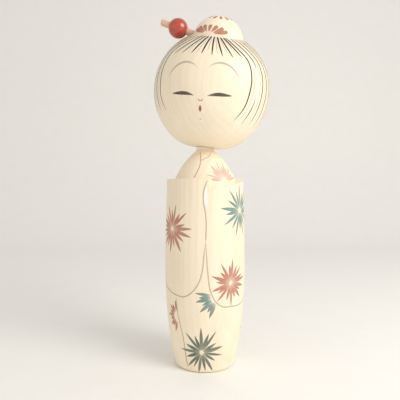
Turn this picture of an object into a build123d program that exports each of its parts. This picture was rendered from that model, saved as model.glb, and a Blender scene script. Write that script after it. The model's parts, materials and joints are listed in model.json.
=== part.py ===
from build123d import *

# Kokeshi doll: a turned kimono body, a shoulder dome, and a head that turns on a leaning peg.
#
# The doll faces -Y and stands on Z = 0, with the body's turning axis on Z. The head turns on an
# axis that leans to one side from the neck. Its topknot sits forward of that axis, because the
# ball is bored at a slant so that the face looks down.

import os
from math import cos, radians, sin, sqrt, tan

os.makedirs("parts", exist_ok=True)

# Body: a barrel-shaped turning with a rounded foot
body_height = 128.5
foot_radius = 20.6
foot_rounding = 3.0
hem_radius = 25.9
hem_height = 31.0
belly_radius = 27.7
belly_height = 75.0
rim_radius = 26.6
rim_softening = 0.5

# Collar: one side of the front rim is planed down towards the middle
collar_drop = 6.7
collar_edge_x = 2.0
collar_angle = 15.2

# Chest: a dome on a round tenon that stands in the body's socket
chest_radius = 21.0
chest_waist_radius = 14.6
chest_waist_height = 11.1
neck_radius = 6.0
neck_length = 2.0
neck_height = 150.4
tenon_depth = 16.0
socket_clearance = 0.05

# Neck peg: glued in the chest, runs free in the head
head_lean = 6.8
peg_radius = 4.0
peg_in_chest = 18.0
peg_in_head = 26.0
peg_chamfer = 0.6
glue_clearance = 0.03
running_clearance = 0.08
seat_gap = 0.2
peg_end_gap = 0.8

# Head: a ball, a little fuller at the cheeks, with a flat above and below
head_radius = 39.8
cheek_fullness = 0.9
chin_flat_radius = 7.0

# Bun: a cap on the head's upper flat, pinned by a dowel
bun_radius = 18.2
bun_crease_radius = 17.4
bun_forward_angle = 19.5
bun_dowel_radius = 3.0
dowel_in_head = 10.0
dowel_in_bun = 9.0
dowel_end_gap = 0.5

# Hairpin: a stick with a bead, pushed into a slanting hole at the foot of the bun
pin_slope = 20.0
pin_radius = 2.2
pin_depth = 13.0
pin_hole_clearance = 0.1
pin_end_gap = 0.3
bead_radius = 6.5
bead_offset = 10.0
pin_beyond_bead = 12.0
pin_end_rounding = 1.2
bead_bore_clearance = 0.02

# The head's leaning axis, and the direction from the head's middle to the bun
lean_direction = Vector(sin(radians(head_lean)), 0, cos(radians(head_lean)))
across_direction = Vector(cos(radians(head_lean)), 0, -sin(radians(head_lean)))
neck_point = Vector(0, 0, neck_height)
chin_distance = sqrt(head_radius**2 - chin_flat_radius**2)
head_centre = neck_point + lean_direction * (seat_gap + chin_distance)
crown_distance = sqrt(head_radius**2 - bun_crease_radius**2)
bun_rise = sqrt(bun_radius**2 - bun_crease_radius**2)


def across_axis(point):
    """The plane square to the leaning axis at a point, with X across the doll."""
    return Plane(origin=point, x_dir=across_direction, z_dir=lean_direction)


neck_plane = across_axis(neck_point)
head_plane = across_axis(head_centre)
chin_plane = across_axis(neck_point + lean_direction * seat_gap)
forward = radians(bun_forward_angle)
crown_direction = lean_direction * cos(forward) + Vector(0, -sin(forward), 0)
crown_centre = head_centre + crown_direction * crown_distance
crown_plane = Plane(origin=crown_centre, x_dir=across_direction, z_dir=crown_direction)

# The hairpin's own axis runs inwards and down from the left end of the crease
pin_inward = Vector(cos(radians(pin_slope)), 0, -sin(radians(pin_slope)))
crease_point = crown_centre - across_direction * bun_crease_radius
pin_entry = Plane(origin=crease_point, x_dir=Vector(0, 1, 0), z_dir=pin_inward)
bead_centre = crease_point - pin_inward * bead_offset
bead_plane = Plane(origin=bead_centre, x_dir=Vector(0, 1, 0), z_dir=pin_inward)

# Body
socket_radius = chest_radius + socket_clearance
socket_floor = body_height - tenon_depth
with BuildPart() as body:
    with BuildSketch(Plane.XZ):
        with BuildLine():
            foot = Line((0, 0), (foot_radius, 0))
            side = Spline(
                foot @ 1,
                (hem_radius, hem_height),
                (belly_radius, belly_height),
                (rim_radius, body_height),
            )
            rim = Line(side @ 1, (0, body_height))
            Line(rim @ 1, foot @ 0)
        make_face()
    revolve(axis=Axis.Z)
    round_edges = body.edges().filter_by(GeomType.CIRCLE).sort_by(Axis.Z)
    fillet(round_edges[0], radius=foot_rounding)
    top_edge = body.edges().filter_by(GeomType.CIRCLE).sort_by(Axis.Z)[-1]
    fillet(top_edge, radius=rim_softening)
    # The planed collar: a wedge over the front half, deepest at its edge near the middle
    collar_low = body_height - collar_drop
    collar_reach = 2 * belly_radius
    collar_high = collar_low + collar_reach * tan(radians(collar_angle))
    with BuildSketch(Plane.XZ):
        with BuildLine():
            Polyline(
                (collar_edge_x, collar_low),
                (collar_edge_x, collar_high),
                (collar_edge_x + collar_reach, collar_high),
                close=True,
            )
        make_face()
    extrude(amount=collar_reach, mode=Mode.SUBTRACT)
    # The socket for the chest's tenon
    with BuildSketch(Plane.XY.offset(socket_floor)):
        Circle(socket_radius)
    extrude(amount=tenon_depth + collar_drop, mode=Mode.SUBTRACT)
body.part.label = "body"
export_step(body.part, "parts/body.step")

# Chest
with BuildPart() as chest:
    with BuildSketch(Plane.XZ):
        with BuildLine():
            bottom = Line((0, socket_floor), (chest_radius, socket_floor))
            wall = Line(bottom @ 1, (chest_radius, body_height))
            dome = ThreePointArc(
                wall @ 1,
                (chest_waist_radius, body_height + chest_waist_height),
                (neck_radius, neck_height - neck_length),
            )
            neck = Line(dome @ 1, (neck_radius, neck_height + neck_radius))
            top = Line(neck @ 1, (0, neck_height + neck_radius))
            Line(top @ 1, bottom @ 0)
        make_face()
    revolve(axis=Axis.Z)
    split(bisect_by=neck_plane, keep=Keep.BOTTOM)
    with BuildSketch(neck_plane):
        Circle(peg_radius + glue_clearance)
    extrude(amount=-peg_in_chest, mode=Mode.SUBTRACT)
chest.part.label = "chest"
export_step(chest.part, "parts/chest.step")

# Neck peg
with BuildPart() as neck_peg:
    with BuildSketch(across_axis(neck_point - lean_direction * peg_in_chest)):
        Circle(peg_radius)
    extrude(amount=peg_in_chest + seat_gap + peg_in_head)
    peg_ends = neck_peg.edges().filter_by(GeomType.CIRCLE).sort_by(Axis.Z)
    chamfer(peg_ends[-1], length=peg_chamfer)
neck_peg.part.label = "neck_peg"
export_step(neck_peg.part, "parts/neck_peg.step")

# Head
cheek = head_radius / sqrt(2) + cheek_fullness
with BuildPart() as head:
    turning_plane = Plane(origin=head_centre, x_dir=across_direction, z_dir=(0, -1, 0))
    with BuildSketch(turning_plane):
        with BuildLine():
            brow = RadiusArc((0, head_radius), (head_radius, 0), head_radius)
            jaw = Spline(
                brow @ 1,
                (cheek, -cheek),
                (chin_flat_radius, -chin_distance),
                tangents=((0, -1), (-1, 0)),
            )
            chin = Line(jaw @ 1, (0, -chin_distance))
            Line(chin @ 1, brow @ 0)
        make_face()
    revolve(axis=Axis(head_centre, lean_direction))
    split(bisect_by=crown_plane, keep=Keep.BOTTOM)
    with BuildSketch(chin_plane):
        Circle(peg_radius + running_clearance)
    extrude(amount=peg_in_head + peg_end_gap, mode=Mode.SUBTRACT)
    with BuildSketch(crown_plane):
        Circle(bun_dowel_radius + glue_clearance)
    extrude(amount=-dowel_in_head, mode=Mode.SUBTRACT)
    with BuildSketch(pin_entry):
        Circle(pin_radius + pin_hole_clearance)
    extrude(amount=pin_depth + pin_end_gap, mode=Mode.SUBTRACT)
    with BuildSketch(pin_entry):
        Circle(pin_radius + pin_hole_clearance)
    extrude(amount=-bead_offset, mode=Mode.SUBTRACT)
head.part.label = "head"
export_step(head.part, "parts/head.step")

# Bun
with BuildPart() as bun:
    bun_side = across_direction.cross(crown_direction)
    with BuildSketch(Plane(origin=crown_centre, x_dir=across_direction, z_dir=bun_side)):
        with BuildLine():
            base = Line((0, 0), (bun_crease_radius, 0))
            cap = RadiusArc(base @ 1, (0, bun_radius - bun_rise), -bun_radius)
            Line(cap @ 1, base @ 0)
        make_face()
    revolve(axis=Axis(crown_centre, crown_direction))
    with BuildSketch(crown_plane):
        Circle(bun_dowel_radius + glue_clearance)
    extrude(amount=dowel_in_bun + dowel_end_gap, mode=Mode.SUBTRACT)
    with BuildSketch(pin_entry):
        Circle(pin_radius + pin_hole_clearance)
    extrude(amount=pin_depth + pin_end_gap, mode=Mode.SUBTRACT)
    with BuildSketch(pin_entry):
        Circle(pin_radius + pin_hole_clearance)
    extrude(amount=-bead_offset, mode=Mode.SUBTRACT)
bun.part.label = "bun"
export_step(bun.part, "parts/bun.step")

# Bun dowel
with BuildPart() as bun_dowel:
    with BuildSketch(crown_plane.offset(-dowel_in_head)):
        Circle(bun_dowel_radius)
    extrude(amount=dowel_in_head + dowel_in_bun)
bun_dowel.part.label = "bun_dowel"
export_step(bun_dowel.part, "parts/bun_dowel.step")

# Hairpin stick
with BuildPart() as hairpin_stick:
    with BuildSketch(bead_plane.offset(-pin_beyond_bead)):
        Circle(pin_radius)
    extrude(amount=pin_beyond_bead + bead_offset + pin_depth)
    stick_ends = hairpin_stick.edges().filter_by(GeomType.CIRCLE).sort_by(Axis.X)
    fillet(stick_ends[0], radius=pin_end_rounding)
hairpin_stick.part.label = "hairpin_stick"
export_step(hairpin_stick.part, "parts/hairpin_stick.step")

# Hairpin bead
with BuildPart() as hairpin_bead:
    with Locations(bead_plane):
        Sphere(bead_radius)
    with BuildSketch(bead_plane.offset(-bead_radius)):
        Circle(pin_radius + bead_bore_clearance)
    extrude(amount=2 * bead_radius, mode=Mode.SUBTRACT)
hairpin_bead.part.label = "hairpin_bead"
export_step(hairpin_bead.part, "parts/hairpin_bead.step")
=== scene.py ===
import json
import random
from math import acos, asin, atan2, cos, degrees, hypot, pi, radians, sin, sqrt, tan

import bmesh
import bpy
import numpy as np
from mathutils import Matrix, Vector
from mathutils.bvhtree import BVHTree


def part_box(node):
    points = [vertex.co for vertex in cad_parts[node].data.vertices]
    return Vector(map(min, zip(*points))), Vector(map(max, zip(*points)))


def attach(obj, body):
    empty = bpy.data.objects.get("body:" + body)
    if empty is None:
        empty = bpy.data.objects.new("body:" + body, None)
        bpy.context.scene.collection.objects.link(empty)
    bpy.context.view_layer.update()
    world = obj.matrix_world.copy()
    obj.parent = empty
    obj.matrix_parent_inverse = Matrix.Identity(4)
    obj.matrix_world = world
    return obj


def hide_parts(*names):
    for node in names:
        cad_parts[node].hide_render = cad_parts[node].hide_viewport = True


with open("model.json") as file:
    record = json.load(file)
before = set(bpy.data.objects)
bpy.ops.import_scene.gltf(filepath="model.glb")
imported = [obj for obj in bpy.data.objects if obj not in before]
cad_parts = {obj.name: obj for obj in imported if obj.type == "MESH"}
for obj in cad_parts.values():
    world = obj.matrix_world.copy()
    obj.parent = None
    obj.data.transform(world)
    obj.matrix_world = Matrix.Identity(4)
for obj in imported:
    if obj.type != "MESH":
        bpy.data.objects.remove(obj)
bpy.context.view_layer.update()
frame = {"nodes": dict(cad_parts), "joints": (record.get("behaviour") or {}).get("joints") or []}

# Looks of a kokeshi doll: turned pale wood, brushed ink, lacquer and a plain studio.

bl_info = {
    "name": "Kokeshi doll",
    "version": (1, 0, 0),
    "blender": (4, 5, 0),
    "location": "View3D > Sidebar > Kokeshi",
    "description": "Builds the finish of a turned and painted kokeshi doll around its frame",
    "category": "Object",
}

MM = 0.001
JOINTS = {joint["name"]: joint for joint in frame["joints"]}
DOLL, HEAD, PIN = "doll_body", "head", "hairpin"
RING = 2 * pi

FOOT_ROUNDING = 3.0 * MM
RIM_ROUNDING = 0.5 * MM
COLLAR_SLOPE = tan(radians(15.2))
NECK_CLEARANCE = 0.08 * MM
NECK_BORE_DEPTH = 26.8 * MM
PIN_CLEARANCE = 0.1 * MM
PIN_END_GAP = 0.3 * MM
PIN_END_ROUNDING = 1.2 * MM
BEAD_CLEARANCE = 0.02 * MM
PAINT_MERGE = 0.0002 * MM


# Places, all worked out from the frame

NECK = Vector(JOINTS["head_turn"]["pos_m"])
LEAN_AXIS = Vector(JOINTS["head_turn"]["axis"]).normalized()
PIN_OUT = Vector(JOINTS["hairpin_pull"]["axis"]).normalized()


def middle(node):
    """The middle of a node's box and its box's size."""
    low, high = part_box(node)
    return (low + high) / 2, high - low


def basis(pole, centre):
    """A frame with Z along an upward pole, X to the viewer's right and -Y to the front."""
    right = pole.cross(Vector((0, -1, 0))).normalized()
    back = pole.cross(right).normalized()
    return Matrix.Translation(centre) @ Matrix((right, back, pole)).transposed().to_4x4()


def corners(node):
    """The points of a node's mesh."""
    return [vertex.co.copy() for vertex in frame["nodes"][node].data.vertices]


HEAD_RADIUS = middle("head")[1].y / 2
HEAD_CENTRE = NECK + LEAN_AXIS * (middle("head")[0].x / LEAN_AXIS.x)
BUN_FAR = max(corners("bun"), key=lambda co: (co - HEAD_CENTRE).length)
CROWN_AXIS = (BUN_FAR - HEAD_CENTRE).normalized()
BUN_REACH = (BUN_FAR - HEAD_CENTRE).length
BUN_FOOT = min((co - HEAD_CENTRE).dot(CROWN_AXIS) for co in corners("bun"))
CREASE_RADIUS = sqrt(HEAD_RADIUS**2 - BUN_FOOT**2)
CAP_HEIGHT = BUN_REACH - BUN_FOOT
BUN_RADIUS = (CREASE_RADIUS**2 + CAP_HEIGHT**2) / (2 * CAP_HEIGHT)
BUN_CENTRE = HEAD_CENTRE + CROWN_AXIS * (BUN_REACH - BUN_RADIUS)
BEAD_CENTRE = middle("hairpin_bead")[0]
BEAD_RADIUS = middle("hairpin_bead")[1].y / 2
PIN_RADIUS = middle("hairpin_stick")[1].y / 2
PEG_RADIUS = middle("neck_peg")[1].y / 2
BODY_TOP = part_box("body")[1].z
BODY_RADIUS = middle("body")[1].y / 2
FAR_OUT = 0.08


def rings(node, place, keep):
    """(height, radius) of the points on a turned node's outside, from low to high."""
    inverse = place.inverted()
    found = []
    for co in corners(node):
        local = inverse @ co
        radius = hypot(local.x, local.y)
        if keep(local, radius):
            found.append((local.z, radius))
    found.sort()
    spaced = found[:1]
    for height, radius in found[1:]:
        if height - spaced[-1][0] > 0.6 * MM:
            spaced.append((height, radius))
    if found[-1][0] > spaced[-1][0]:
        spaced.append(found[-1])
    return spaced


def faired(samples, at):
    """A smooth curve through (place, value) samples, read at many places."""
    place, value = np.array(samples).T
    slope = np.gradient(value, place)
    left = np.clip(np.searchsorted(place, at) - 1, 0, len(place) - 2)
    step = place[left + 1] - place[left]
    t = (at - place[left]) / step
    start = (1 + 2 * t) * (1 - t) ** 2 * value[left] + t * (1 - t) ** 2 * step * slope[left]
    end = t**2 * (3 - 2 * t) * value[left + 1] + t**2 * (t - 1) * step * slope[left + 1]
    return start + end


def arc(radius, start, end, count, centre=0.0):
    """Points (radius, height) on a circle about the turning axis, angles up from the equator."""
    angles = np.linspace(radians(start), radians(end), count)
    return [(radius * cos(a), centre + radius * sin(a)) for a in angles]


# Node trees written as expressions

class Wire:
    """An output socket that can be used in arithmetic: each operation adds a Math node."""

    def __init__(self, tree, socket):
        self.tree = tree
        self.socket = socket

    def maths(self, operation, *others):
        return add(self.tree, "ShaderNodeMath", {"operation": operation},
                   dict(enumerate((self, *others))))

    def clamp(self, low=0.0):
        return self.maths("MAXIMUM", low).maths("MINIMUM", 1.0)

    def __add__(self, other):
        return self.maths("ADD", other)

    def __radd__(self, other):
        return self.maths("ADD", other)

    def __sub__(self, other):
        return self.maths("SUBTRACT", other)

    def __rsub__(self, other):
        return add(self.tree, "ShaderNodeMath", {"operation": "SUBTRACT"}, {0: other, 1: self})

    def __mul__(self, other):
        return self.maths("MULTIPLY", other)

    def __rmul__(self, other):
        return self.maths("MULTIPLY", other)

    def __truediv__(self, other):
        return self.maths("DIVIDE", other)

    def __pow__(self, other):
        return self.maths("POWER", other)


def add(tree, kind, settings=None, feeds=None, output=0):
    """Adds a node: settings first, then its sockets' values or links. Returns one output."""
    node = tree.nodes.new(kind)
    for name, value in (settings or {}).items():
        setattr(node, name, value)
    for name, value in (feeds or {}).items():
        if isinstance(name, int):
            socket = node.inputs[name]
        else:
            named = [s for s in node.inputs if s.name == name and s.enabled]
            socket = (named or [s for s in node.inputs if s.identifier == name])[0]
        if isinstance(value, Wire):
            tree.links.new(value.socket, socket)
        else:
            socket.default_value = value
    sockets = [s for s in node.outputs if s.enabled]
    if isinstance(output, str):
        return Wire(tree, next(s for s in sockets if s.name == output))
    return Wire(tree, sockets[output])


def split(wire):
    """A vector's three parts."""
    node = wire.tree.nodes.new("ShaderNodeSeparateXYZ")
    wire.tree.links.new(wire.socket, node.inputs[0])
    return [Wire(wire.tree, socket) for socket in node.outputs]


def join(tree, x, y, z=0.0):
    """A vector from three parts."""
    return add(tree, "ShaderNodeCombineXYZ", {}, {"X": x, "Y": y, "Z": z})


def moved(tree, geometry, places):
    return add(tree, "GeometryNodeSetPosition", {}, {"Geometry": geometry, "Position": places})


def noise(tree, place, scale, detail, roughness=0.5):
    return add(tree, "ShaderNodeTexNoise", {},
               {"Vector": place, "Scale": scale, "Detail": detail, "Roughness": roughness})


def mix_colour(tree, factor, first, second):
    return add(tree, "ShaderNodeMix", {"data_type": "RGBA"},
               {"Factor_Float": factor, "A_Color": first, "B_Color": second}, "Result")


# Materials

def srgb(red, green, blue):
    """A display colour, 0 to 255, as the linear colour that shaders take."""
    def linear(value):
        value = value / 255
        return value / 12.92 if value <= 0.04045 else ((value + 0.055) / 1.055) ** 2.4
    return (linear(red), linear(green), linear(blue), 1.0)


def grain(tree, place, pale, deep, contrast=1.0):
    """Pale turned wood: long fibres, soft growth rings and a little mottling, as (colour, relief)."""
    turn = place.inverted()
    spot = add(tree, "ShaderNodeTexCoord", output="Object")
    spot = add(tree, "ShaderNodeMapping", {},
               {"Vector": spot, "Location": turn.translation, "Rotation": turn.to_euler()})
    long = add(tree, "ShaderNodeVectorMath", {"operation": "MULTIPLY"},
               {0: spot, 1: (1.0, 1.0, 0.06)}, "Vector")
    drift = noise(tree, long, 55.0, 3.0)
    fibre = noise(tree, long, 900.0, 4.0, 0.6)
    streak = noise(tree, long, 230.0, 3.0)
    mottle = noise(tree, spot, 28.0, 2.0)
    x, y, _ = split(spot)
    pith = ((x + 0.055) ** 2.0 + (y - 0.045) ** 2.0) ** 0.5 + drift * 0.006
    ring = (pith * (RING / 0.0034)).maths("SINE") * 0.5 + 0.5
    late = ring ** 3.0
    depth = late * 0.16 + (streak - 0.5) * 0.55 + (fibre - 0.5) * 0.45 + (mottle - 0.5) * 0.5
    depth = depth * contrast + 0.28
    colour = mix_colour(tree, depth.clamp(), pale, deep)
    return colour, fibre * 0.6 + streak * 0.4


def surface(name):
    """A new material, its tree and its main shader."""
    material = bpy.data.materials.new(name)
    material.use_nodes = True
    tree = material.node_tree
    shader = tree.nodes["Principled BSDF"]
    return material, tree, shader


def feed(tree, shader, name, wire):
    tree.links.new(wire.socket, shader.inputs[name])


def relief(tree, shader, height, strength, distance):
    bump = add(tree, "ShaderNodeBump", {}, {"Height": height, "Strength": strength, "Distance": distance})
    feed(tree, shader, "Normal", bump)


def wood_material(name, place, pale, deep, gloss=0.46, contrast=1.0, coat=0.12):
    material, tree, shader = surface(name)
    colour, fibre = grain(tree, place, pale, deep, contrast)
    feed(tree, shader, "Base Color", colour)
    feed(tree, shader, "Roughness", fibre * 0.16 + (gloss - 0.08))
    shader.inputs["Coat Weight"].default_value = coat
    shader.inputs["Coat Roughness"].default_value = 0.35
    relief(tree, shader, fibre, 0.18, 0.0003)
    return material


def ink_material(name, place, ink, edge, cover=0.95, fade=0.35, gloss=0.5):
    """Brushed water ink on wood: it pools at the tip and thins where the brush first touched."""
    material, tree, shader = surface(name)
    wood, fibre = grain(tree, place, PALE, DEEP)
    along = add(tree, "ShaderNodeAttribute", {"attribute_name": "along"}, {}, "Fac")
    tone = add(tree, "ShaderNodeAttribute", {"attribute_name": "tone"}, {}, "Fac")
    pool = (along - 0.45).maths("MAXIMUM", 0.0) * 1.2 + (tone - 0.5) * 0.7
    colour = mix_colour(tree, pool.clamp(), ink, edge)
    thin = 1.0 - (along * 3.0).maths("MINIMUM", 1.0)
    seen = cover - thin * fade - fibre * 0.22 - tone * 0.12
    feed(tree, shader, "Base Color",
         mix_colour(tree, seen.clamp(0.05), wood, colour))
    feed(tree, shader, "Roughness", fibre * 0.15 + (gloss - 0.08))
    relief(tree, shader, fibre, 0.15, 0.0002)
    return material


def lacquer_material(name, place):
    """Red lacquer over wood, deep below and brighter where it is rubbed thin."""
    material, tree, shader = surface(name)
    spot = add(tree, "ShaderNodeTexCoord", output="Object")
    cloud = noise(tree, spot, 260.0, 3.0)
    fine = noise(tree, spot, 1600.0, 2.0)
    feed(tree, shader, "Base Color", mix_colour(tree, cloud, srgb(158, 38, 22), srgb(198, 84, 60)))
    feed(tree, shader, "Roughness", fine * 0.12 + 0.2)
    shader.inputs["Coat Weight"].default_value = 0.8
    shader.inputs["Coat Roughness"].default_value = 0.08
    relief(tree, shader, cloud, 0.12, 0.0004)
    return material


PALE = srgb(251, 240, 218)
DEEP = srgb(229, 206, 172)


# Geometry node trees

def new_tree(name, inputs):
    """An empty geometry tree with named inputs, and its group input's outputs by name."""
    tree = bpy.data.node_groups.new(name, "GeometryNodeTree")
    tree.interface.new_socket("Geometry", in_out="INPUT", socket_type="NodeSocketGeometry")
    for label, kind in inputs:
        tree.interface.new_socket(label, in_out="INPUT", socket_type="NodeSocket" + kind)
    tree.interface.new_socket("Geometry", in_out="OUTPUT", socket_type="NodeSocketGeometry")
    source = tree.nodes.new("NodeGroupInput")
    return tree, {socket.name: Wire(tree, socket) for socket in source.outputs if socket.name}


def close_tree(tree, geometry, material):
    """Ends a tree: real geometry, smooth, with its material."""
    geometry = add(tree, "GeometryNodeRealizeInstances", {}, {"Geometry": geometry})
    geometry = add(tree, "GeometryNodeSetShadeSmooth", {}, {"Geometry": geometry})
    geometry = add(tree, "GeometryNodeSetMaterial", {}, {"Geometry": geometry, "Material": material})
    sink = tree.nodes.new("NodeGroupOutput")
    tree.links.new(geometry.socket, sink.inputs[0])


def turned_tree(cut):
    """Turns a profile, drawn as radius and height, about its axis, and places it. May cut it."""
    inputs = [("Segments", "Int"), ("Turn", "Rotation"), ("Place", "Vector"), ("Material", "Material")]
    inputs += [("Cutter", "Object")] if cut else []
    tree, given = new_tree("Turned piece, cut" if cut else "Turned piece", inputs)
    count = add(tree, "GeometryNodeAttributeDomainSize", {}, {"Geometry": given["Geometry"]}, "Point Count")
    grid = tree.nodes.new("GeometryNodeMeshGrid")
    tree.links.new((given["Segments"] + 1).socket, grid.inputs["Vertices X"])
    tree.links.new(count.socket, grid.inputs["Vertices Y"])
    spot = add(tree, "GeometryNodeInputPosition")
    across, up, _ = split(spot)
    index = ((up + 0.5) * (count - 1)).maths("ROUND")
    drawn = add(tree, "GeometryNodeSampleIndex", {"data_type": "FLOAT_VECTOR", "clamp": True},
                {"Geometry": given["Geometry"], "Value": spot, "Index": index})
    radius, _, height = split(drawn)
    angle = (across + 0.5) * RING
    wrapped = join(tree, radius * angle.maths("SINE"), radius * angle.maths("COSINE") * -1.0, height)
    shape = moved(tree, Wire(tree, grid.outputs[0]), wrapped)
    shape = add(tree, "GeometryNodeMergeByDistance", {}, {"Geometry": shape, "Distance": 0.002 * MM})
    shape = add(tree, "GeometryNodeTransform", {},
                {"Geometry": shape, "Translation": given["Place"], "Rotation": given["Turn"]})
    if cut:
        tool = add(tree, "GeometryNodeObjectInfo", {}, {"Object": given["Cutter"]}, "Geometry")
        shape = add(tree, "GeometryNodeMeshBoolean", {"operation": "DIFFERENCE", "solver": "EXACT"},
                    {"Mesh 1": shape, "Mesh 2": tool}, "Mesh")
    close_tree(tree, shape, given["Material"])
    return tree


def bead_of_ink(tree, crown):
    """The cross-section of a brushed line: a low crown above, and a root below the surface."""
    ring = add(tree, "GeometryNodeCurvePrimitiveCircle", {"mode": "RADIUS"},
               {"Resolution": 10, "Radius": 1.0})
    x, y, _ = split(add(tree, "GeometryNodeInputPosition"))
    return moved(tree, ring, join(tree, x * crown, y))


def brush_tree():
    """Sweeps guide lines that lie on a surface into low strokes of the width they carry."""
    tree, given = new_tree("Brush strokes", [("Crown", "Float"), ("Material", "Material")])
    lines = add(tree, "GeometryNodeMeshToCurve", {}, {"Mesh": given["Geometry"]})
    normal = add(tree, "GeometryNodeInputNamedAttribute", {"data_type": "FLOAT_VECTOR"},
                 {"Name": "surface_normal"})
    lines = add(tree, "GeometryNodeSetCurveNormal", {"mode": "FREE"}, {"Curve": lines, "Normal": normal})
    width = add(tree, "GeometryNodeInputNamedAttribute", {"data_type": "FLOAT"}, {"Name": "half_width"})
    strokes = add(tree, "GeometryNodeCurveToMesh", {},
                  {"Curve": lines, "Profile Curve": bead_of_ink(tree, given["Crown"]),
                   "Scale": width, "Fill Caps": True})
    close_tree(tree, strokes, given["Material"])
    return tree


FLOWER_INPUTS = [
    ("Petals", "Int"), ("Length", "Float"), ("Spread", "Float"), ("Width", "Float"), ("Heart", "Float"),
    ("Start", "Float"), ("Sweep", "Float"), ("Seed", "Int"), ("Angle", "Float"), ("Height", "Float"),
    ("Wrap radius", "Float"), ("Crown", "Float"), ("Surface", "Object"), ("Material", "Material"),
]


def flower_tree():
    """A ray flower: slim petals about a heart, of uneven length, wrapped onto a turned piece."""
    tree, given = new_tree("Ray flower", FLOWER_INPUTS)
    steps = 14
    line = add(tree, "GeometryNodeMeshLine", {}, {"Count": steps + 1, "Offset": (1.0 / steps, 0.0, 0.0)})
    line = add(tree, "GeometryNodeMeshToCurve", {}, {"Mesh": line})
    along = add(tree, "GeometryNodeSplineParameter", {}, {}, "Factor")
    line = add(tree, "GeometryNodeSetCurveNormal", {"mode": "FREE"},
               {"Curve": line, "Normal": (0.0, 0.0, 1.0)})
    line = add(tree, "GeometryNodeStoreNamedAttribute", {"data_type": "FLOAT"},
               {"Geometry": line, "Name": "along", "Value": along})
    swell = ((along ** 0.85) * pi).maths("SINE").maths("MAXIMUM", 0.0) ** 0.9
    petal = add(tree, "GeometryNodeCurveToMesh", {},
                {"Curve": line, "Profile Curve": bead_of_ink(tree, given["Crown"]),
                 "Scale": (swell + 0.02) * given["Width"] * 0.5, "Fill Caps": True})
    hearts = add(tree, "GeometryNodeMeshLine", {}, {"Count": given["Petals"], "Offset": (0.0, 0.0, 0.0)})
    index = add(tree, "GeometryNodeInputIndex")

    def chance(low, high, offset):
        return add(tree, "FunctionNodeRandomValue", {"data_type": "FLOAT"},
                   {"Min": low, "Max": high, "ID": index, "Seed": given["Seed"] + offset})

    turn = given["Start"] + given["Sweep"] * (index + chance(-0.22, 0.22, 1)) / given["Petals"]
    start = join(tree, turn.maths("COSINE") * given["Heart"], turn.maths("SINE") * given["Heart"])
    hearts = moved(tree, hearts, start)
    spin = add(tree, "FunctionNodeEulerToRotation", {}, {"Euler": join(tree, 0.0, 0.0, turn)})
    short = (index.maths("MODULO", 2.0)) * given["Spread"] + chance(0.0, 0.5, 2) * given["Spread"]
    size = join(tree, given["Length"] * (1.0 - short), chance(0.75, 1.15, 3), 1.0)
    petals = add(tree, "GeometryNodeInstanceOnPoints", {},
                 {"Points": hearts, "Instance": petal, "Rotation": spin, "Scale": size})
    petals = add(tree, "GeometryNodeStoreNamedAttribute", {"data_type": "FLOAT", "domain": "INSTANCE"},
                 {"Geometry": petals, "Name": "tone", "Value": chance(0.0, 1.0, 4)})
    petals = add(tree, "GeometryNodeRealizeInstances", {}, {"Geometry": petals})
    right, up, proud = split(add(tree, "GeometryNodeInputPosition"))
    round_to = given["Angle"] + right / given["Wrap radius"]
    height = (given["Height"] + up).maths("MAXIMUM", 0.7 * MM)
    x, y = round_to.maths("SINE"), round_to.maths("COSINE") * -1.0
    origin = join(tree, x * FAR_OUT, y * FAR_OUT, height)
    inward = join(tree, x * -1.0, y * -1.0)
    target = add(tree, "GeometryNodeObjectInfo", {}, {"Object": given["Surface"]}, "Geometry")
    hit = tree.nodes.new("GeometryNodeRaycast")
    for name, wire in {"Target Geometry": target, "Source Position": origin, "Ray Direction": inward}.items():
        tree.links.new(wire.socket, hit.inputs[name])
    hit.inputs["Ray Length"].default_value = 0.1
    lift = add(tree, "ShaderNodeVectorMath", {"operation": "SCALE"},
               {"Vector": Wire(tree, hit.outputs["Hit Normal"]), "Scale": proud}, "Vector")
    wrapped = add(tree, "ShaderNodeVectorMath", {"operation": "ADD"},
                  {0: Wire(tree, hit.outputs["Hit Position"]), 1: lift}, "Vector")
    close_tree(tree, moved(tree, petals, wrapped), given["Material"])
    return tree


# Making and finishing pieces

def link(piece):
    bpy.context.scene.collection.objects.link(piece)
    return piece


def line_object(name, points, edges):
    mesh = bpy.data.meshes.new(name)
    mesh.from_pydata(points, edges, [])
    return link(bpy.data.objects.new(name, mesh))


def run_tree(name, source, tree, **values):
    """Runs a tree on a source object and returns its result as one plain, closed, outward mesh."""
    modifier = source.modifiers.new("Shape", "NODES")
    modifier.node_group = tree
    sockets = {item.name: item.identifier for item in tree.interface.items_tree if item.in_out == "INPUT"}
    for label, value in values.items():
        modifier[sockets[label.replace("_", " ")]] = value
    source.update_tag()
    shape = source.evaluated_get(bpy.context.evaluated_depsgraph_get())
    mesh = bpy.data.meshes.new_from_object(shape)
    if not mesh.polygons:
        raise RuntimeError(f"{name} came out empty")
    source.modifiers.remove(modifier)
    bpy.data.objects.remove(source)
    piece = link(bpy.data.objects.new(name, mesh))
    mesh.name = name
    return piece


def tidy(piece, crease=35.0, merge=0.001 * MM):
    """Closes seams, turns faces outwards and keeps the real corners crisp."""
    shape = bmesh.new()
    shape.from_mesh(piece.data)
    bmesh.ops.remove_doubles(shape, verts=shape.verts, dist=merge)
    bmesh.ops.dissolve_degenerate(shape, edges=shape.edges, dist=merge * 0.2)
    bmesh.ops.recalc_face_normals(shape, faces=shape.faces)
    for edge in shape.edges:
        edge.smooth = len(edge.link_faces) == 2 and edge.calc_face_angle(0.0) < radians(crease)
    for face in shape.faces:
        face.smooth = True
    shape.to_mesh(piece.data)
    shape.free()
    return piece


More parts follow.
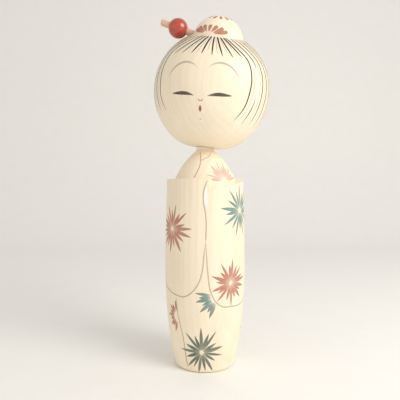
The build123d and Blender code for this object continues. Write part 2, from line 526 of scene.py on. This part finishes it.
def turned(name, profile, place, material, cutter=None, segments=224):
    """A turned piece from its profile of (radius, height) points in the axes of a place."""
    points = [(max(radius, 0.0), 0.0, height) for radius, height in profile]
    edges = [(i, i + 1) for i in range(len(points) - 1)]
    source = line_object(name + "_profile", points, edges)
    values = {"Segments": segments, "Turn": place.to_euler(), "Place": place.translation, "Material": material}
    if cutter:
        values["Cutter"] = cutter
    piece = run_tree(name, source, TREES["cut" if cutter else "turned"], **values)
    if cutter:
        bpy.data.objects.remove(cutter)
    return tidy(piece)


def plane_off(piece, place, normal):
    """Cuts away what lies beyond a plane, and closes the cut."""
    shape = bmesh.new()
    shape.from_mesh(piece.data)
    cut = bmesh.ops.bisect_plane(shape, geom=shape.verts[:] + shape.edges[:] + shape.faces[:],
                                 plane_co=place, plane_no=normal, clear_outer=True)
    edges = [item for item in cut["geom_cut"] if isinstance(item, bmesh.types.BMEdge)]
    bmesh.ops.contextual_create(shape, geom=edges)
    shape.to_mesh(piece.data)
    shape.free()
    return tidy(piece)


def skin(piece):
    """A tree that finds where a ray meets a piece."""
    shape = bmesh.new()
    shape.from_mesh(piece.data)
    found = BVHTree.FromBMesh(shape)
    shape.free()
    return found


def on_wall(found, angle, height):
    """The point and normal of a turned body's wall at an angle from its front, and a height."""
    outward = Vector((sin(radians(angle)), -cos(radians(angle)), 0))
    origin = outward * FAR_OUT + Vector((0, 0, height * MM))
    return found.ray_cast(origin, -outward)[:2]


def on_ball(found, place, east, north):
    """The point and normal of a ball at an angle round and an angle up, in the axes of a place."""
    east, north = radians(east), radians(north)
    out = Vector((sin(east) * cos(north), -cos(east) * cos(north), sin(north)))
    out = place.to_3x3() @ out
    return found.ray_cast(place.translation + out * 0.07, -out)[:2]


def smooth_path(points, count):
    """A smooth run of places through a few chosen ones, evenly counted."""
    points = np.array(points, float)
    place = np.concatenate([[0], np.cumsum(np.linalg.norm(np.diff(points, axis=0), axis=1))])
    at = np.linspace(0, place[-1], count)
    return np.stack([faired(list(zip(place, axis)), at) for axis in points.T], axis=1)


def brush_line(t):
    """A written line: full from the start, drawn out to a point."""
    return min(1.0, 0.45 + 8 * t) * (1 - t**5) ** 0.7 + 0.03


def brush_even(t):
    """A line of even width with rounded ends."""
    return min(1.0, 0.35 + 12 * t, 0.35 + 12 * (1 - t))


def brush_lens(t):
    """A pressed stroke: fine at both ends, full in the middle."""
    return sin(pi * min(max(t, 0.0), 1.0)) ** 0.85 + 0.03


def brush_petal(t, swell=1.3):
    """A blunt petal: narrow at its root, broad and rounded at its end."""
    return min(1.0, 0.3 + swell * t) * min(1.0, 0.25 + 9 * (1 - t))


class Strokes:
    """Gathers guide lines on one piece's surface, then sweeps them all into one painted piece."""

    def __init__(self, reach, seed):
        self.reach = reach
        self.chance = random.Random(seed)
        self.points, self.edges = [], []
        self.normals, self.widths, self.along, self.tones = [], [], [], []

    def draw(self, places, width, form=brush_line, count=30, tone=None):
        tone = self.chance.random() if tone is None else tone
        path = smooth_path(places, count) if len(places) > 2 else np.linspace(*places, count)
        first = len(self.points)
        for step, (u, v) in enumerate(path):
            spot, normal = self.reach(u, v)
            if spot is None:
                continue
            t = step / (count - 1)
            self.points.append(spot)
            self.normals.append(normal)
            self.widths.append(width * MM * 0.5 * form(t))
            self.along.append(t)
            self.tones.append(tone)
        self.edges += [(i, i + 1) for i in range(first, len(self.points) - 1)]

    def make(self, name, material, crown=0.1):
        source = line_object(name + "_guides", self.points, self.edges)
        stores = {"half_width": self.widths, "along": self.along, "tone": self.tones}
        for label, values in stores.items():
            source.data.attributes.new(label, "FLOAT", "POINT").data.foreach_set("value", values)
        store = source.data.attributes.new("surface_normal", "FLOAT_VECTOR", "POINT")
        store.data.foreach_set("vector", [c for normal in self.normals for c in normal])
        piece = run_tree(name, source, TREES["brush"], Crown=crown, Material=material)
        return tidy(piece, 60.0, PAINT_MERGE)


def finish_piece(piece, body, slot, *nodes):
    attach(piece, body)
    if nodes:
        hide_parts(*nodes)


def cylinder_cutter(name, place, radius, low, high):
    """A plain round tool along a place's axis, used only to bore a hole."""
    shape = bmesh.new()
    bmesh.ops.create_cone(shape, cap_ends=True, segments=64, radius1=radius, radius2=radius, depth=high - low)
    bmesh.ops.translate(shape, verts=shape.verts, vec=(0, 0, (low + high) / 2))
    bmesh.ops.transform(shape, matrix=place, verts=shape.verts)
    mesh = bpy.data.meshes.new(name)
    shape.to_mesh(mesh)
    shape.free()
    return link(bpy.data.objects.new(name, mesh))


UPRIGHT = Matrix.Identity(4)
LEANING = basis(LEAN_AXIS, HEAD_CENTRE)
CROWNED = basis(CROWN_AXIS, HEAD_CENTRE)
BUN_AXES = basis(CROWN_AXIS, BUN_CENTRE)
PIN_AXES = Matrix.Translation(BEAD_CENTRE) @ Vector((0, 0, 1)).rotation_difference(PIN_OUT).to_matrix().to_4x4()
TREES = {}
MADE = {}


class KokeshiSizes(bpy.types.PropertyGroup):
    """Sizes of the painting that are chosen."""

    hair_line: bpy.props.FloatProperty(
        name="Hair line", description="Width of a strong hair line, in millimetres", default=1.15, min=0.1)
    hair_fine: bpy.props.FloatProperty(
        name="Fine hair", description="Width of a hair line between strong ones, in millimetres", default=0.45)
    robe_line: bpy.props.FloatProperty(
        name="Robe line", description="Width of the robe's drawn edges, in millimetres", default=0.85)
    petal_width: bpy.props.FloatProperty(
        name="Petal width", description="Width of a flower's petal at its middle, in millimetres", default=2.3)
    face_turn: bpy.props.FloatProperty(
        name="Face turn", description="How far the face looks to one side", default=radians(-11.0),
        subtype="ANGLE")
    face_roll: bpy.props.FloatProperty(
        name="Face roll", description="How far the face is levelled against the head's lean",
        default=radians(-5.5), subtype="ANGLE")
    light: bpy.props.FloatProperty(
        name="Light", description="Strength of the main lamp, in watts", default=3.9, min=0.0)


class KokeshiColours(bpy.types.PropertyGroup):
    """Ink colours, as linear values."""

    black: bpy.props.FloatVectorProperty(
        name="Black ink", description="Hair and eyes", default=srgb(30, 27, 26), size=4, subtype="COLOR")
    red: bpy.props.FloatVectorProperty(
        name="Red ink", description="Red flowers", default=srgb(178, 92, 72), size=4, subtype="COLOR")
    teal: bpy.props.FloatVectorProperty(
        name="Teal ink", description="Green-blue flowers", default=srgb(44, 124, 122), size=4, subtype="COLOR")
    robe: bpy.props.FloatVectorProperty(
        name="Robe ink", description="The robe's edges", default=srgb(164, 144, 120), size=4, subtype="COLOR")


class KOKESHI_OT_turned(bpy.types.Operator):
    """Turn the body, the chest, the head, the bun, the bead and the stick"""

    bl_idname = "kokeshi.turned_pieces"
    bl_label = "Turned pieces"

    def execute(self, context):
        TREES.update(cut=turned_tree(True), turned=turned_tree(False), brush=brush_tree(), flower=flower_tree())
        body_wood = wood_material("body_wood", UPRIGHT, PALE, DEEP, contrast=0.75)
        head_wood = wood_material("head_wood", LEANING, PALE, DEEP, contrast=0.6)
        self.make_body(body_wood)
        self.make_chest(body_wood)
        self.make_head(head_wood)
        self.make_bun(head_wood)
        self.make_hairpin()
        hidden = wood_material("peg_wood", UPRIGHT, srgb(226, 196, 150), srgb(182, 142, 94), coat=0.0)
        for node in ("neck_peg", "bun_dowel"):
            mesh = frame["nodes"][node].data
            mesh.materials.clear()
            mesh.materials.append(hidden)
        return {"FINISHED"}

    def make_body(self, wood):
        socket = rings("body", UPRIGHT, lambda co, radius: radius < 0.8 * BODY_RADIUS and co.z > 0.6 * BODY_TOP)
        bore, floor = max(r for _, r in socket), min(h for h, _ in socket)
        wall = rings("body", UPRIGHT,
                     lambda co, radius: co.y > MM and radius > bore + 0.5 * MM or co.z < FOOT_ROUNDING)
        upright = [(h, r) for h, r in wall if FOOT_ROUNDING - 0.1 * MM < h < BODY_TOP - 0.9 * RIM_ROUNDING]
        heights = np.linspace(upright[0][0], upright[-1][0], 150)
        radii = faired(upright, heights)
        foot = arc(FOOT_ROUNDING, -90, -8, 9, FOOT_ROUNDING)
        flat = radii[0] - FOOT_ROUNDING
        profile = [(0.0, 0.0), (flat * 0.5, 0.0)] + [(flat + x - 0.03 * MM, z) for x, z in foot]
        profile += [(r, h) for r, h in zip(radii, heights) if h > 1.1 * FOOT_ROUNDING]
        rim = radii[-1] - RIM_ROUNDING
        profile += [(rim + x, z) for x, z in arc(RIM_ROUNDING, 8, 90, 6, BODY_TOP - RIM_ROUNDING)]
        profile += [(bore, BODY_TOP), (bore, (BODY_TOP + floor) / 2), (bore, floor), (0.0, floor)]
        piece = turned("turned_body", profile, UPRIGHT, wood, self.collar_tool(), 256)
        finish_piece(piece, DOLL, "pale_wood", "body")
        MADE["body"] = piece

    def collar_tool(self):
        """The wedge that planes one side of the front rim down towards the middle."""
        planed = [co for co in corners("body") if co.y < -MM and co.z > 0.93 * BODY_TOP
                  and hypot(co.x, co.y) > 0.9 * BODY_RADIUS and 1.5 * MM < co.x < 2.5 * MM]
        low = min(planed, key=lambda co: co.z)
        reach = 2 * BODY_RADIUS
        top = low.z + reach * COLLAR_SLOPE
        ends = [(low.x, low.z), (low.x + reach, top), (low.x, top)]
        points = [(x, y, z) for y in (-reach, 0.0) for x, z in ends]
        faces = [(0, 1, 2), (5, 4, 3), (0, 3, 4, 1), (1, 4, 5, 2), (2, 5, 3, 0)]
        mesh = bpy.data.meshes.new("collar_tool")
        mesh.from_pydata(points, [], faces)
        return tidy(link(bpy.data.objects.new("collar_tool", mesh)))

    def make_chest(self, wood):
        low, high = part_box("chest")
        radius = (high.x - low.x) / 2
        dome = rings("chest", UPRIGHT,
                     lambda co, r: BODY_TOP - 0.1 * MM < co.z < NECK.z - 1.5 * MM and co.x > MM and r > 5 * MM)
        heights = np.linspace(BODY_TOP, dome[-1][0], 70)
        radii = faired(dome, heights)
        radii[0] = radius
        profile = [(0.0, low.z), (radius, low.z)] + list(zip(radii, heights))
        profile += [(radii[-1], NECK.z + 4 * MM), (0.0, NECK.z + 4 * MM)]
        piece = plane_off(turned("turned_chest", profile, UPRIGHT, wood), NECK, LEAN_AXIS)
        finish_piece(piece, DOLL, "pale_wood", "chest")
        MADE["chest"] = piece

    def make_head(self, wood):
        inverse = LEANING.inverted()
        jaw = []
        for co in corners("head"):
            local = inverse @ co
            radius = hypot(local.x, local.y)
            if local.z < 0 and radius > 6.9 * MM:
                jaw.append((degrees(atan2(local.z, radius)), local.length))
        jaw = sorted({round(angle, 1): reach for angle, reach in jaw}.items())
        jaw = [pair for i, pair in enumerate(jaw) if i == 0 or pair[0] - jaw[i - 1][0] > 0.05]
        angles = np.linspace(jaw[0][0], 0, 80)
        reaches = faired(jaw + [(0.0, HEAD_RADIUS)] if jaw[-1][0] < -0.5 else jaw, angles)
        chin = reaches[0] * sin(radians(angles[0]))
        bore = PEG_RADIUS + NECK_CLEARANCE
        top = chin + NECK_BORE_DEPTH
        profile = [(0.0, top), (bore, top), (bore, chin)]
        profile += [(d * cos(radians(a)), d * sin(radians(a))) for a, d in zip(angles, reaches)]
        profile += arc(HEAD_RADIUS, 1, 90, 90)
        piece = turned("turned_head", profile, LEANING, wood, self.pin_tool("pin_tool_head"), 256)
        piece = plane_off(piece, HEAD_CENTRE + CROWN_AXIS * BUN_FOOT, CROWN_AXIS)
        finish_piece(piece, HEAD, "pale_wood", "head")
        MADE["head"] = piece

    def pin_tool(self, name):
        """The round tool that bores the hairpin's slanting hole."""
        tip = max((PIN_AXES.inverted() @ co).z * -1 for co in corners("hairpin_stick"))
        return cylinder_cutter(name, PIN_AXES, PIN_RADIUS + PIN_CLEARANCE, -tip - PIN_END_GAP, 0.0)

    def make_bun(self, wood):
        rise = BUN_REACH - BUN_RADIUS - BUN_FOOT
        start = degrees(asin(-rise / BUN_RADIUS))
        profile = [(0.0, -rise), (CREASE_RADIUS * 0.5, -rise)] + arc(BUN_RADIUS, start, 90, 90)
        piece = turned("turned_bun", profile, BUN_AXES, wood, self.pin_tool("pin_tool_bun"), 192)
        finish_piece(piece, HEAD, "pale_wood", "bun")
        MADE["bun"] = piece

    def make_hairpin(self):
        stick = wood_material("pin_wood", PIN_AXES, srgb(232, 196, 170), srgb(190, 142, 112), gloss=0.4)
        inverse = PIN_AXES.inverted()
        ends = [(inverse @ co).z for co in corners("hairpin_stick")]
        low, high = min(ends), max(ends)
        soft = PIN_END_ROUNDING
        profile = [(0.0, low), (PIN_RADIUS - 0.25 * MM, low), (PIN_RADIUS, low + 0.25 * MM)]
        profile += [(PIN_RADIUS, low + (high - low) * i / 12) for i in range(1, 11)]
        profile += [(PIN_RADIUS - soft + x, z) for x, z in arc(soft, 0, 90, 10, high - soft)] + [(0.0, high)]
        piece = turned("turned_stick", profile, PIN_AXES, stick, segments=64)
        finish_piece(piece, PIN, "pin_wood", "hairpin_stick")
        bore = PIN_RADIUS + BEAD_CLEARANCE
        edge = degrees(acos((bore + 0.35 * MM) / BEAD_RADIUS))
        outside = arc(BEAD_RADIUS, -edge, edge, 64)
        lip = outside[-1][1] - 0.2 * MM
        profile = [(bore, -lip)] + outside + [(bore, lip), (bore, 0.0), (bore, -lip)]
        bead = turned("turned_bead", profile, PIN_AXES, lacquer_material("red_lacquer", PIN_AXES), segments=96)
        finish_piece(bead, PIN, "red_lacquer", "hairpin_bead")


class KOKESHI_OT_flowers(bpy.types.Operator):
    """Brush the ray flowers on the robe and on the bun"""

    bl_idname = "kokeshi.flowers"
    bl_label = "Ray flowers"

    def execute(self, context):
        colours = context.scene.kokeshi_colours
        inks = {
            "red": ink_material("red_ink", UPRIGHT, colours.red, srgb(116, 66, 48)),
            "teal": ink_material("teal_ink", UPRIGHT, colours.teal, srgb(26, 62, 58)),
            "green": ink_material("green_ink", UPRIGHT, srgb(44, 82, 72), srgb(20, 38, 32), cover=1.0, fade=0.2),
            "rose": ink_material("rose_ink", UPRIGHT, srgb(214, 176, 164), srgb(160, 126, 112), cover=0.95),
        }
        # Each flower: ink, angle round from the front, height, petal length, petals, start and sweep
        flowers = [
            ("red", -53.0, 95.5, 18.0, 19, 0, 360),
            ("teal", 58.0, 107.5, 19.5, 18, 10, 360),
            ("red", 37.0, 60.5, 16.0, 19, 5, 360),
            ("green", -5.8, 15.2, 18.5, 17, 8, 360),
            ("teal", 17.5, 53.0, 16.5, 7, 172, 90),
            ("red", -43.0, 37.5, 11.5, 9, 104, 168),
            ("teal", -112.0, 62.0, 15.0, 18, 0, 360),
            ("red", 118.0, 84.0, 16.0, 18, 0, 360),
            ("green", 106.0, 24.0, 15.5, 17, 0, 360),
            ("red", 172.0, 40.0, 15.5, 18, 0, 360),
            ("teal", -168.0, 98.0, 17.0, 18, 0, 360),
            ("green", -118.0, 20.0, 13.0, 16, 0, 360),
        ]
        width = context.scene.kokeshi_sizes.petal_width
        for number, (ink, angle, height, length, petals, start, sweep) in enumerate(flowers):
            clipped = sweep < 360
            heart = (0.3 if clipped else 0.07) * length
            self.flower(f"flower_{number + 1}_{ink}", MADE["body"], inks[ink], number, angle, height,
                        length - heart, petals, start, sweep, width, heart)
        self.flower("flower_chest_rose", MADE["chest"], inks["rose"], 40, 36.0, 127.5, 12.5, 12, 8, 185,
                    1.9, 1.6, wrap=21.0)
        self.bun_flowers()
        return {"FINISHED"}

    def flower(self, name, target, ink, seed, angle, height, length, petals, start, sweep,
               width, heart, wrap=None):
        source = line_object(name + "_start", [(0, 0, 0), (MM, 0, 0)], [(0, 1)])
        values = {
            "Petals": petals, "Length": length * MM, "Spread": 0.24, "Width": width * MM, "Heart": heart * MM,
            "Start": radians(start), "Sweep": radians(sweep), "Seed": 11 * seed + 3,
            "Angle": radians(angle), "Height": height * MM,
            "Wrap radius": wrap * MM if wrap else BODY_RADIUS, "Crown": 0.075,
            "Surface": target, "Material": ink,
        }
        piece = run_tree(name, source, TREES["flower"], **values)
        finish_piece(tidy(piece, 60.0, PAINT_MERGE), DOLL, "pale_wood")

    def bun_flowers(self):
        """A fan of broad petals at the bun's foot, and a ring of short ones round its top."""
        found = skin(MADE["bun"])
        ink = ink_material("bun_ink", BUN_AXES, srgb(186, 92, 66), srgb(140, 58, 42), cover=1.0, fade=0.15)
        fan = Strokes(lambda u, v: on_ball(found, BUN_AXES, u, v), 5)
        foot = 15.5
        for i in range(7):
            lean = -74 + 24 * i
            inner, outer = 10.0, 27.0
            start = (-23 + inner * sin(radians(lean)) * 1.5, foot + 3 + 5 * cos(radians(lean)))
            end = (-23 + outer * sin(radians(lean)) * 1.75, foot + 4 + 20 * cos(radians(lean)))
            fan.draw([start, end], 2.5, brush_petal, 18)
        for i in range(11):
            east = -30 + i * 360 / 11
            fan.draw([(east, 78), (east, 60)], 2.0, lambda t: brush_petal(t, 1.5), 14)
        finish_piece(fan.make("bun_petals", ink, 0.07), HEAD, "pale_wood")


class KOKESHI_OT_robe(bpy.types.Operator):
    """Draw the robe's edges: the collar, the sleeves, the overlap and the hem"""

    bl_idname = "kokeshi.robe"
    bl_label = "Robe lines"

    def execute(self, context):
        width = context.scene.kokeshi_sizes.robe_line
        ink = ink_material("robe_ink", UPRIGHT, context.scene.kokeshi_colours.robe, srgb(122, 106, 88),
                           cover=0.9, fade=0.1)
        wall = skin(MADE["body"])
        lines = Strokes(lambda u, v: on_wall(wall, u, v), 7)
        edge = [(3.0, 127.6), (-0.7, 123.3), (-2.7, 119.6), (-2.7, 113.3), (-0.7, 108.3),
                (0.6, 103.0), (0.4, 88.0)]
        left = [(0.4, 88.0), (-1.8, 80), (-3.6, 71), (-8.8, 61.8), (-17, 56), (-30, 51.8), (-44, 52),
                (-59, 53.5), (-78, 58), (-94, 70), (-101, 90), (-102, 110), (-98, 126)]
        right = [(0.4, 88.0), (1.6, 78), (3, 68), (6.5, 56.6), (13, 49.8), (22, 46), (38, 44.8),
                 (58, 44.5), (78, 48), (94, 58), (101, 80), (102, 105), (98, 126)]
        overlap = [(-45, 50.5), (-42.6, 39.4), (-39, 31), (-35.4, 24), (-34, 14), (-33, 3.4)]
        for places, size, count in ((edge, 0.9, 60), (left, 1.0, 160), (right, 1.0, 160), (overlap, 0.85, 60)):
            lines.draw(places, width * size, brush_even, count, 0.5)
        for side in (-1, 1):
            lines.draw([(side * 98, 50), (side * 104, 36), (side * 108, 18), (side * 110, 3.6)],
                       width * 0.8, brush_even, 50, 0.4)
        lines.draw([(180, 126), (180, 110), (178, 96)], width * 0.8, brush_line, 40, 0.4)
        finish_piece(lines.make("robe_lines", ink, 0.14), DOLL, "pale_wood")
        self.draw_pale_front_band(wall)
        dome = skin(MADE["chest"])
        collar = Strokes(lambda u, v: on_wall(dome, u, v), 9)
        collar.draw([(-24, 146.8), (-14, 142), (-12.6, 138.6), (-17, 132.6), (-21, 128.9)],
                    width * 0.8, brush_even, 40, 0.4)
        collar.draw([(26, 146.6), (10, 143.2), (-6, 141.5), (-13, 140.6)], width * 0.7, brush_even, 40, 0.3)
        finish_piece(collar.make("collar_lines", ink, 0.14), DOLL, "pale_wood")
        return {"FINISHED"}

    def draw_pale_front_band(self, wall):
        """A pale white band along the front edge, between the drawn robe lines, turning bluish towards its lower
        end.
        """
        white = ink_material("white_front_band", UPRIGHT, srgb(246, 246, 244), srgb(206, 218, 232), cover=1.0, fade=0.0)
        band = Strokes(lambda u, v: on_wall(wall, u, v), 12)
        # A pale white band, bluish at its lower end, drawn along the front edge.
        band.draw([(2.4, 123.6), (0.6, 119), (0.4, 113.5), (1.0, 108.8)], 2.5, brush_lens, 40, 0.3)
        finish_piece(band.make("under_collar", white, 0.05), DOLL, "pale_wood")


class KOKESHI_OT_hair(bpy.types.Operator):
    """Brush the fringe, the side locks and the hair at the back"""

    bl_idname = "kokeshi.hair"
    bl_label = "Hair"

    def execute(self, context):
        sizes = context.scene.kokeshi_sizes
        found = skin(MADE["head"])
        black = ink_material("black_ink", LEANING, context.scene.kokeshi_colours.black, srgb(12, 12, 14),
                             cover=1.4, fade=0.12)
        grey = ink_material("grey_ink", LEANING, srgb(132, 132, 128), srgb(96, 98, 98), cover=0.85, fade=0.3)
        # Pale blue painted sheen, laid along the side locks to stand for light on the hair.
        blue = ink_material("pale_blue_painted_sheen", LEANING, srgb(214, 228, 230), srgb(186, 208, 214), cover=0.75, fade=0.2)
        reach = lambda u, v: on_ball(found, CROWNED, u, v)
        strong, fine, painted_sheen = Strokes(reach, 21), Strokes(reach, 22), Strokes(reach, 23)
        middle_line = degrees(sizes.face_turn)
        foot = degrees(asin(BUN_FOOT / HEAD_RADIUS)) - 0.6
        self.fringe(strong, fine, sizes, middle_line, foot)
        self.locks(strong, fine, painted_sheen, sizes, middle_line, foot)
        finish_piece(strong.make("hair_strong", black, 0.12), HEAD, "pale_wood")
        finish_piece(fine.make("hair_fine", grey, 0.16), HEAD, "pale_wood")
        finish_piece(painted_sheen.make("hair_wash", blue, 0.04), HEAD, "pale_wood")
        return {"FINISHED"}

    def fringe(self, strong, fine, sizes, centre, foot):
        count, spread = 8, 44.0
        chance = random.Random(31)
        for i in range(2 * count - 1):
            east = -spread + i * 2 * spread / (2 * count - 2)
            bold = i % 2 == 0
            end = 39.8 - 3.0 * (east / spread) ** 2 * (1.4 if east < 0 else 0.2) + chance.uniform(-0.6, 0.6)
            end += 0.0 if bold else chance.uniform(-1.0, 3.5)
            root = centre + east * 0.5
            path = [(root, foot), (centre + east * 0.72, (foot + end) / 2 + 1.5), (centre + east, end)]
            if bold:
                strong.draw(path, sizes.hair_line * chance.uniform(0.85, 1.1), brush_line, 30)
            else:
                fine.draw(path, sizes.hair_fine, brush_line, 30)

    def locks(self, strong, fine, painted_sheen, sizes, centre, foot):
        """Long lines from the bun: the side locks turn in at the jaw, and the back ones hang straight. A pale blue
        band of painted sheen runs along each side lock.
        """
        count = 15
        chance = random.Random(37)
        for side in (-1, 1):
            for half in range(2 * count):
                j = half / 2
                full = 51.0 + 8.9 * j
                ease = 1 - j / count
                end = 51.0 + 8.9 * j - 16.5 * ease
                low = -18.0 - 2.6 * min(j, 4.0) - 0.45 * max(j - 4.0, 0) + chance.uniform(-0.8, 0.8)
                root = 27.0 + 10.4 * j
                path = [(root, foot), ((root + full) / 2 + 2 * ease, 50), (full - 0.5, 38), (full, 22),
                        (full - 3.5 * ease, 8), (full - 8 * ease, -5), (end, low)]
                path = [(centre + side * east, north) for east, north in path]
                if half % 2 == 0:
                    strong.draw(path, sizes.hair_line * chance.uniform(0.8, 1.05), brush_line, 60)
                elif j < 5 or half % 4 == 1:
                    fine.draw(path, sizes.hair_fine, brush_line, 60)
            # Painted sheen: a pale blue band along each side lock, wider on the right side, where the key lamp
            # falls.
            path = [(40, 57), (53, 43), (60, 24), (55.5, 4), (45, -15)]
            path = [(centre + side * east, north) for east, north in path]
            painted_sheen.draw(path, 3.2 if side > 0 else 1.8, brush_lens, 60, 0.4)


class KOKESHI_OT_face(bpy.types.Operator):
    """Brush the eyes, the brows, the nose, the mouth and a small grey dash at the chin"""

    bl_idname = "kokeshi.face"
    bl_label = "Face"

    def execute(self, context):
        sizes = context.scene.kokeshi_sizes
        found = skin(MADE["head"])
        pole = Matrix.Rotation(sizes.face_roll, 3, Vector((0, 1, 0))) @ CROWN_AXIS
        place = basis(pole, HEAD_CENTRE)
        turn = degrees(sizes.face_turn)
        reach = lambda u, v: on_ball(found, place, u + turn, v + 3.8)
        black = ink_material("eye_ink", LEANING, srgb(34, 30, 30), srgb(14, 14, 18), cover=1.1, fade=0.15, gloss=0.4)
        grey = ink_material("brow_ink", LEANING, srgb(150, 143, 134), srgb(120, 116, 112), cover=0.78, fade=0.4)
        red = ink_material("mouth_ink", LEANING, srgb(178, 62, 44), srgb(140, 34, 26), cover=1.1, fade=0.1)
        eyes, brows, mouth = Strokes(reach, 41), Strokes(reach, 42), Strokes(reach, 43)
        for side in (-1, 1):
            lid = [(6.0, -0.3), (11.0, 0.7), (16.0, 1.0), (21.5, 0.5), (27.6, -0.5)]
            eyes.draw([(side * east, north) for east, north in lid], 2.25, brush_lens, 40, 0.6)
            lash = [(5.4, -0.6), (11.0, 1.4), (16.0, 1.9), (22.0, 1.2), (29.2, -0.5)]
            eyes.draw([(side * east, north) for east, north in lash], 0.55, brush_lens, 40, 0.8)
            brow = [(3.6, 22.4), (10.0, 27.0), (19.0, 28.6), (28.0, 25.4), (33.8, 19.0), (36.6, 13.0)]
            brows.draw([(side * east, north) for east, north in brow], 1.35, brush_lens, 50, 0.4)
            mouth.draw([(side * 1.9, -3.2), (side * 1.2, -4.3), (0, -4.9)], 0.6, brush_line, 14, 0.4)
        mouth.draw([(0, -8.3), (0, -14.3)], 1.9, brush_lens, 24, 0.6)
        # A small grey dash at the chin, in the brows' grey ink.
        brows.draw([(-1.4, -21.0), (1.4, -21.0)], 0.7, brush_lens, 10, 0.2)
        finish_piece(eyes.make("eyes", black, 0.06), HEAD, "pale_wood")
        finish_piece(brows.make("brows", grey, 0.09), HEAD, "pale_wood")
        finish_piece(mouth.make("mouth_and_nose", red, 0.09), HEAD, "pale_wood")
        return {"FINISHED"}


class KOKESHI_OT_stage(bpy.types.Operator):
    """Set the floor, the lamps and the camera"""

    bl_idname = "kokeshi.stage"
    bl_label = "Stage"

    def execute(self, context):
        self.sweep()
        self.lamps(context)
        self.camera(context)
        context.scene.view_settings.view_transform = "Standard"
        return {"FINISHED"}

    def sweep(self):
        """A pale floor that curves up into a backdrop."""
        material, tree, shader = surface("paper_sweep")
        spot = add(tree, "ShaderNodeTexCoord", output="Object")
        tooth = noise(tree, spot, 40.0, 5.0)
        feed(tree, shader, "Base Color", mix_colour(tree, tooth, srgb(246, 245, 242), srgb(250, 249, 247)))
        shader.inputs["Roughness"].default_value = 0.85
        back, bend, side, height = 0.55, 0.25, 2.2, 1.6
        line = [(-1.6, 0.0), (back, 0.0)]
        line += [(back + bend * sin(a), bend - bend * cos(a)) for a in np.linspace(0.05, pi / 2, 24)]
        line += [(back + bend, height)]
        points = [(x, y, z) for y, z in line for x in (-side, side)]
        faces = [(2 * i, 2 * i + 1, 2 * i + 3, 2 * i + 2) for i in range(len(line) - 1)]
        mesh = bpy.data.meshes.new("sweep")
        mesh.from_pydata(points, [], faces)
        for face in mesh.polygons:
            face.use_smooth = True
        mesh.materials.append(material)
        link(bpy.data.objects.new("sweep", mesh))

    def lamps(self, context):
        world = bpy.data.worlds.new("Studio")
        context.scene.world = world
        world.use_nodes = True
        world.node_tree.nodes["Background"].inputs["Color"].default_value = (1.0, 0.975, 0.94, 1.0)
        world.node_tree.nodes["Background"].inputs["Strength"].default_value = 0.66
        strength = context.scene.kokeshi_sizes.light
        lamps = (("key", (0.55, -0.42, 0.48), 0.5, strength, (1.0, 0.97, 0.92)),
                 ("fill", (-0.6, -0.5, 0.25), 0.7, strength * 0.12, (1.0, 0.9, 0.78)))
        for name, place, size, watts, colour in lamps:
            data = bpy.data.lights.new(name, "AREA")
            data.shape = "DISK"
            data.size = size
            data.energy = watts
            data.color = colour
            lamp = link(bpy.data.objects.new(name, data))
            lamp.location = place
            aim = Vector((0, 0, 0.13)) - Vector(place)
            lamp.rotation_euler = aim.to_track_quat("-Z", "Y").to_euler()

    def camera(self, context):
        data = bpy.data.cameras.new("Camera")
        data.sensor_width = 36.0
        data.lens = 38.5
        camera = link(bpy.data.objects.new("Camera", data))
        camera.location = (-3.5 * MM, -299.6 * MM, 122.7 * MM)
        camera.rotation_euler = (radians(90 - 1.67), 0.0, 0.0)
        context.scene.camera = camera


class KOKESHI_PT_panel(bpy.types.Panel):
    """Lists the doll's steps in the sidebar"""

    bl_label = "Kokeshi"
    bl_idname = "KOKESHI_PT_panel"
    bl_space_type = "VIEW_3D"
    bl_region_type = "UI"
    bl_category = "Kokeshi"

    def draw(self, context):
        for group in (context.scene.kokeshi_sizes, context.scene.kokeshi_colours):
            for name in group.bl_rna.properties.keys():
                if name not in ("rna_type", "name"):
                    self.layout.prop(group, name)
        for step in STEPS:
            self.layout.operator(step.bl_idname)


STEPS = (
    KOKESHI_OT_turned, KOKESHI_OT_flowers, KOKESHI_OT_robe,
    KOKESHI_OT_hair, KOKESHI_OT_face, KOKESHI_OT_stage,
)
CLASSES = (KokeshiSizes, KokeshiColours, *STEPS, KOKESHI_PT_panel)


def register():
    for cls in CLASSES:
        bpy.utils.register_class(cls)
    bpy.types.Scene.kokeshi_sizes = bpy.props.PointerProperty(type=KokeshiSizes)
    bpy.types.Scene.kokeshi_colours = bpy.props.PointerProperty(type=KokeshiColours)


def unregister():
    del bpy.types.Scene.kokeshi_sizes
    del bpy.types.Scene.kokeshi_colours
    for cls in reversed(CLASSES):
        bpy.utils.unregister_class(cls)


def main():
    register()
    bpy.ops.kokeshi.turned_pieces()
    bpy.ops.kokeshi.flowers()
    bpy.ops.kokeshi.robe()
    bpy.ops.kokeshi.hair()
    bpy.ops.kokeshi.face()
    bpy.ops.kokeshi.stage()


if __name__ == "__main__":
    main()
